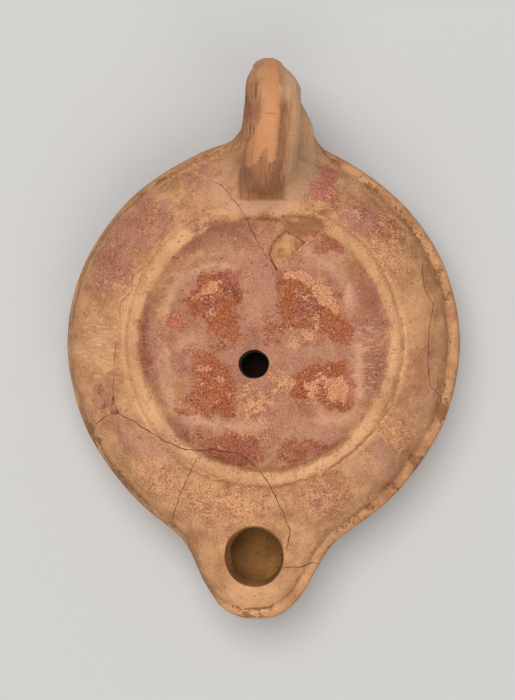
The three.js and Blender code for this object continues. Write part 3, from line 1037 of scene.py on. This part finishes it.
# patches with a definite outline: what they are painted with, strength, softness and the outline
outlines = (
    ("red", 1.22, 2.4, ((-12.7, 12.9), (-9.4, 13.9), (-6.8, 14.2), (-5.1, 12.2), (-4.8, 8.9), (-5.8, 6.2),
        (-4.8, 2.9), (-5.4, 0.9), (-8.1, 0.6), (-10.4, 2.3), (-11.1, 4.9), (-14.7, 6.6), (-16.1, 8.2),
        (-13.7, 10.2))),
    ("red", 1.28, 1.6, ((2.2, 12.5), (4.5, 14.1), (8.5, 13.7), (10.5, 11.6), (11.5, 8.2), (15.1, 6.2),
        (17.1, 2.9), (16.8, -0.1), (14.5, -0.1), (11.8, 2.3), (7.8, 2.9), (4.5, 3.3), (3.2, 5.6),
        (3.5, 8.9))),
    ("red", 1.2, 3.2, ((-14.7, -2.4), (-11.4, -2.1), (-8.8, -3.4), (-5.8, -6.4), (-4.4, -9), (-4.8, -13),
        (-6.8, -15), (-9.8, -14), (-12.7, -14), (-14.6, -12.6), (-15.4, -11.4), (-15.2, -9.7),
        (-13.2, -8.4), (-13.4, -5.1))),
    ("red", 1.22, 1.6, ((4.5, -6.7), (7.2, -5.4), (11.2, -4.1), (15.1, -3.7), (17.8, -5.7), (17.8, -9),
        (17.5, -13), (15.8, -14), (12.5, -13), (10.5, -11), (6.5, -11.7), (5.2, -9.7))),
    ("flecksAndHighlights", 1.3, 0.6, ((-14.6, 8.9), (-12.2, 10.4), (-10.4, 11.9), (-8.2, 12.3), (-9.6, 10.6),
        (-11.8, 9.2), (-13.9, 7.7))),
    ("flecksAndHighlights", 1.45, 0.4, ((3.9, 13.9), (7.2, 14.5), (9.2, 13.5), (11.5, 11.9), (13.5, 11.2), (14.5, 8.2),
        (15.6, 5.6), (14.5, 5.6), (12.5, 7.2), (10.5, 7.6), (9.8, 10.2), (7.2, 12.5), (4.5, 12.5))),
    ("flecksAndHighlights", 1.2, 0.6, ((7.8, -7.7), (10.4, -7.4), (11.4, -9.4), (9.4, -11.4), (7.8, -10.4))),
    ("flecksAndHighlights", 1.4, 0.6, ((12.3, -7), (15.8, -6.4), (16.9, -9), (15.6, -12), (12.9, -11.4))),
)
# narrow painted lines: what they are painted with, half width, strength and the line itself
paintedLines = (
    ("haze", 1, 1, ((-19.4, 5), (-19.1, 7.6), (-18.1, 10.9), (-14.7, 13.9), (-12.1, 15.2), (-9.1, 15.6),
        (-6, 15))),
    ("haze", 1.1, 1, ((-19.7, -1.7), (-19.7, -7.7), (-18.7, -11.7), (-15.4, -15), (-11.4, -15.8),
        (-4.8, -16.8), (0, -16.4))),
    ("haze", 0.9, 1, ((18.8, -0.7), (18.8, -6.4), (19.1, -10.4), (17.8, -14), (15.1, -15.2),
        (10.4, -15.4))),
    ("haze", 1.1, 0.9, ((8.8, 18), (11.8, 16.4), (14.8, 14.2), (16.6, 10.9), (17, 7))),
    ("haze", 0.8, 0.8, ((-10.4, 17.4), (-6.4, 19), (-3, 17.6))),
    # these lines are painted highlights: the mended edge by the lost sherd, partly pale broken clay, the ridge's
    # outer edge and the seam ledge
    ("flecksAndHighlights", 0.42, 2, ((2.8, 15), (7.2, 19.3), (10.5, 21.3), (13.4, 23.8), (13.6, 25.3), (17, 26.5))),
    ("flecksAndHighlights", 0.45, 1.3, ((17.3, 21.6), (18.6, 20.1), (22, 16.5), (24.9, 12.2))),
    ("flecksAndHighlights", 0.3, 1.3, ((7, 26.6), (11, 25.2), (14.4, 23.2))),
    ("flecksAndHighlights", 0.6, 1.4, ((20.3, 31.2), (22.9, 28.7), (25.3, 26.3), (27.5, 24.1), (30, 20.5))),
    ("flecksAndHighlights", 0.6, 1.4, ((-24.4, 29.4), (-20.3, 32.2), (-14.9, 35.3), (-9.5, 37.5))),
    ("bare", 0.35, 0.8, ((-16, 35.4), (-12.6, 33.3), (-8.1, 30.9), (-6.1, 28.2))),
    ("red", 0.8, 1, ((-13, -21.6), (-8, -23.8), (-1.2, -25.3), (3.4, -25.3), (7.7, -24), (12, -22),
        (13.7, -21.5))),
    ("red", 0.9, 0.8, ((-18.6, 16.6), (-14.6, 21.6), (-12.6, 23.6), (-7.3, 24.6), (-1.2, 25), (7.1, 25))),
    # a thin brown line in the groove round the ridge, partly painted shade
    ("brownAndShade", 0.34, 0.9, ((27, 4.9), (27.6, 1.6), (27.1, -4.4), (25.1, -12.3), (22.7, -16.2), (18.1, -20.9),
        (11.6, -25.9), (2.9, -28.5), (-2.6, -28.7), (-10.5, -26.9), (-15.4, -24.9), (-19.2, -21.1))),
    ("brownAndShade", 0.6, 1.1, ((-17, -18.4), (-13, -21.4), (-8, -23.7), (-1.2, -25.1), (3.4, -25.1), (7.7, -23.9),
        (12, -22), (16, -19))),
    ("red", 0.35, 0.9, ((-12, -21.2), (-8, -21.2), (-4.8, -22), (-1.2, -24.7))),
)
# how far the patches, the lines and the outlines wander: reach, size of the noise, seeds for X and Y
drifts = {
    "patches": ((1.7, 5, 41, 42), (1.19, 1.7, 43, 44)),
    "lines": ((0.35, 1.1, 47, 48),),
    "outlines": ((0.6, 1.8, 53, 55), (0.3, 0.7, 54, 56)),
}


marks = {
    # in mm; four numbers fade in between the first two and out again between the last two
    "top": (17, 18.5),  # height from which the slip is painted
    "ridge": (24.2, 25.2, 28, 29),  # from the middle of the lamp
    "ridgeBare": 1.15,
    "rim": (38.4, 0.7),  # from the middle, and half width
    "rimBare": 0.7,
    "seam": (0.1, 0.35),  # above the joint, and half width
    "seamChips": 0.5,
    "tip": (50, 53),  # how far out the nozzle's tip begins
    "edge": (4, 10, 21, 24),  # height of the steep sides painted darker
    # painted shade deep inside the hollow, fading in between these distances
    "paintedShadeInside": (7.5, 14),  # from the wick hole
    # on the handle, across it or along Y
    "rib": (-1.4, -1, 1.4, 1.65),
    "ribFrom": 34,
    "ribWidening": 3.5,
    "front": (-6, -4.6, 3.6, 4.6),
    # painted shade in the gully right of the rib: across, along Y and its strength
    "gully": (1.4, 1.7, 2.8, 5.6),
    "gullyAlong": (31, 34, 44, 48),
    "gullyShade": 1.15,
    "flankAlong": (33, 41, 48, 52),
    "foot": (3, 5, 9, 12.5),
}


def drifted(flat, waves):
    moved = flat.copy()
    for reach, size, *seeds in waves:
        for axis, seed in enumerate(seeds):
            moved[:, axis] += reach * noiseAt(flat, size, seed)
    return moved


def patchSum(warped, rows):
    value = np.zeros(len(warped))
    for x0, x1, y0, y1, strength in rows:
        across = (warped[:, 0] - (x0 + x1) / 2) / (x1 - x0) * 2
        along = (warped[:, 1] - (y0 + y1) / 2) / (y1 - y0) * 2
        edge = (np.abs(across) ** 2.4 + np.abs(along) ** 2.4) ** (1 / 2.4)
        value = np.maximum(value, strength * (1 - smooth(edge, 0.42, 1.22)))
    return value


def outlineDepth(co, corners):
    # how far inside the outline each point lies, negative outside it
    gap, side = fromLine(co, corners + corners[:1])
    inside = np.zeros(len(co), dtype=bool)
    for (x0, y0), (x1, y1) in zip(corners, corners[1:] + corners[:1]):
        beside = (y0 > co[:, 1]) != (y1 > co[:, 1])
        inside ^= beside & (co[:, 0] < x0 + (co[:, 1] - y0) * (x1 - x0) / ((y1 - y0) or 1))
    return np.where(inside, gap, -gap)


def setValue(obj, name, values):
    layer = obj.data.attributes.new(name, "FLOAT", "POINT")
    layer.data.foreach_set("value", np.clip(values, 0, 2).astype(np.float32))


def paintTop(obj, co, facing, onTop, onHandle):
    # slip, deposit and wear on the shoulder, the ridge and the discus, with painted shade and painted highlights
    flat = co * np.array([1, 1, 0])
    radius = np.hypot(co[:, 0], co[:, 1])
    forPatches, forLines, forOutlines = [drifted(flat, waves) for waves in drifts.values()]
    broken = 1 + 0.5 * noiseAt(flat, 1.6, 49)
    for name, rows in patches.items():
        value = patchSum(forPatches, rows)
        if name == "bare":
            # the ridge and the outermost rim are rubbed bare all round
            bareRidge = marks["ridgeBare"] + 0.5 * noiseAt(flat, 7, 45)
            value = np.maximum(value, between(radius, *marks["ridge"]) * bareRidge)
            value = np.maximum(value, marks["rimBare"] * bellAt(radius, *marks["rim"]))
        for kind, width, strength, line in paintedLines:
            if kind == name:
                gap, side = fromLine(forLines, line)
                value = np.maximum(value, strength * broken * bellAt(gap, 0, width))
        for kind, strength, soft, corners in outlines:
            if kind == name:
                inside = smooth(outlineDepth(forOutlines, corners), -soft, soft)
                value = np.maximum(value, strength * inside)
        if name == "chips":
            value = np.maximum(value * smooth(facing, -0.4, 0), seamChips(co))
            setValue(obj, name, value * (1 - onHandle))
        else:
            setValue(obj, name, value * onTop * (1 - onHandle))


def seamChips(co):
    # the worn joint between upper and lower half, less worn on the nozzle's flanks
    bell = nozzleBell(np.degrees(np.arctan2(co[:, 0], -co[:, 1])), nozzle["halfAngle"])
    above, half = marks["seam"]
    seam = bellAt(co[:, 2], body["seam"] + nozzle["lift"] * bell + above, half)
    seam *= np.hypot(co[:, 0], co[:, 1]) > 34
    seam *= 1 - 0.8 * smooth(bell, 0.1, 0.4) * (1 - smooth(-co[:, 1], *marks["tip"]))
    share = marks["seamChips"] - 0.16 * smooth(co[:, 0], 0, 20)
    return seam * (share + 0.45 * noiseAt(co, 6, 51) + 0.25 * noiseAt(co, 1.6, 52))


def paintHandle(obj, co, facing, onHandle):
    # its rib worn bright, the front of its foot brown, painted shade in the gully right of the rib, the left flank
    # streaked dark red
    x, y, z = co.T
    lean = ring["leanUp"] * np.maximum(z - ring["height"], 0) + ring["leanBack"] * (y - ring["y"])
    side = x - lean
    jag = 1.1 * noiseAt(co * np.array([1, 0.15, 0.15]), 0.8, 46)
    off = side + 0.3 * noiseAt(co, 1.5, 50)
    low = marks["ribFrom"] + 3.2 * bellAt(off, -0.5, 0.75) + jag
    rise, full, wane, end = marks["rib"]
    wider = marks["ribWidening"] * (1 - smooth(y, 33, 45))
    worn = smooth(off + wider, rise, full) * (1 - smooth(side, wane, end))
    worn *= onHandle * smooth(y, low - 0.2, low + 0.2) * smooth(facing, 0.1, 0.4)
    setValue(obj, "worn", worn)
    front = (1 - worn) * (1 - smooth(y, 34, 39)) * between(x, *marks["front"]) * smooth(z, 25.8, 27.6)
    # painted shade in the gully right of the rib, laid on with the front's brown
    gully = marks["gullyShade"] * between(side, *marks["gully"]) * between(y, *marks["gullyAlong"])
    setValue(obj, "front", onHandle * np.maximum(front, gully))
    flank = (1 - worn) * (1 - smooth(side, -2.4, -1.4)) * between(y, *marks["flankAlong"])
    setValue(obj, "flank", onHandle * flank)
    # the pale side of the handle's foot, seen past the gully
    foot = between(x, *marks["foot"]) * smooth(y, 30, 33) * smooth(z, 12, 15)
    setValue(obj, "dull", np.maximum(onHandle * (1 - worn) * smooth(side, 1.6, 2.6), foot))
    return foot


def paintLamp(obj):
    co, facing = places(obj), normals(obj)[:, 2]
    radius = np.hypot(co[:, 0], co[:, 1])
    onTop = smooth(co[:, 2], *marks["top"]) * smooth(facing, -0.2, 0.25)
    # the handle above the shoulder, which falls away outwards
    away = np.hypot(co[:, 1] - ring["y"], co[:, 2] - ring["height"])
    shoulder = 26.4 - 0.35 * np.maximum(radius - 28, 0)
    onHandle = (1 - smooth(away, 13.9, 14.6)) * (co[:, 1] > 26)
    onHandle *= smooth(co[:, 2] - shoulder, -1, 1.5)
    paintTop(obj, co, facing, onTop, onHandle)
    foot = paintHandle(obj, co, facing, onHandle)
    # the steep sides between these heights painted a darker brown
    edge = (1 - smooth(facing, 0.1, 0.8)) * between(co[:, 2], *marks["edge"])
    setValue(obj, "edge", edge * (1 - onHandle) * (1 - foot))
    # painted shade inside the hollow and the filling hole, away from the wick hole
    x, y = holes["wick"]["middle"]
    fromWick = np.hypot(co[:, 0] - x, co[:, 1] - y)
    setValue(obj, "paintedShadeInside", smooth(fromWick, *marks["paintedShadeInside"]) * (co[:, 2] < 24))


paintLamp(lamp)
print("lamp:", sum(len(p.vertices) - 2 for p in lamp.data.polygons), "triangles")
print("patches painted")
lamp.data.transform(Matrix.Scale(mm, 4))
lamp.data.shade_smooth()
lamp.data.set_sharp_from_angle(angle=math.radians(38))  # keeps rims and cracks crisp
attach(lamp, "root")
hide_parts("lamp")

# floor, light and camera

studio = {
    "floor": 1.2,  # metres, half the side
    "floorColour": (0.62, 0.61, 0.59),
    "floorRoughness": 0.9,
    "eye": (-1.3, -1.4, 354),  # mm
    "lens": 85.7,
    # each light: place and size in metres, power, colour
    "lights": {
        "window": ((-0.1, 0.22, 0.78), 0.55, 4.2, (1, 1, 1)),
        "fill": ((0.08, -0.42, 0.65), 0.8, 2.2, (1, 0.97, 0.92)),
    },
    "room": (0.9, 0.93, 1),
    "roomStrength": 0.3,
}
bm = bmesh.new()
bmesh.ops.create_grid(bm, x_segments=1, y_segments=1, size=studio["floor"])
floor = newObject("floor", bm)
floor.location.z = -0.0001
paper = bpy.data.materials.new("paper")
paper.use_nodes = True
paperShader = paper.node_tree.nodes["Principled BSDF"].inputs
paperShader["Base Color"].default_value = (*studio["floorColour"], 1)
paperShader["Roughness"].default_value = studio["floorRoughness"]
floor.data.materials.append(paper)

cameraData = bpy.data.cameras.new("camera")
cameraData.lens = studio["lens"]
camera = bpy.data.objects.new("camera", cameraData)
camera.location = Vector(studio["eye"]) * mm
bpy.context.scene.collection.objects.link(camera)
bpy.context.scene.camera = camera


for name, (place, size, power, tint) in studio["lights"].items():
    # a round soft light that looks at the lamp
    data = bpy.data.lights.new(name, "AREA")
    data.shape = "DISK"
    data.size = size
    data.energy = power
    data.color = tint
    obj = bpy.data.objects.new(name, data)
    obj.location = place
    obj.rotation_euler = (-Vector(place)).to_track_quat("-Z", "Y").to_euler()
    bpy.context.scene.collection.objects.link(obj)

world = bpy.data.worlds.new("room")
world.use_nodes = True
sky = world.node_tree.nodes["Background"].inputs
sky["Color"].default_value = (*studio["room"], 1)
sky["Strength"].default_value = studio["roomStrength"]
bpy.context.scene.world = world
bpy.context.scene.view_settings.view_transform = "Standard"
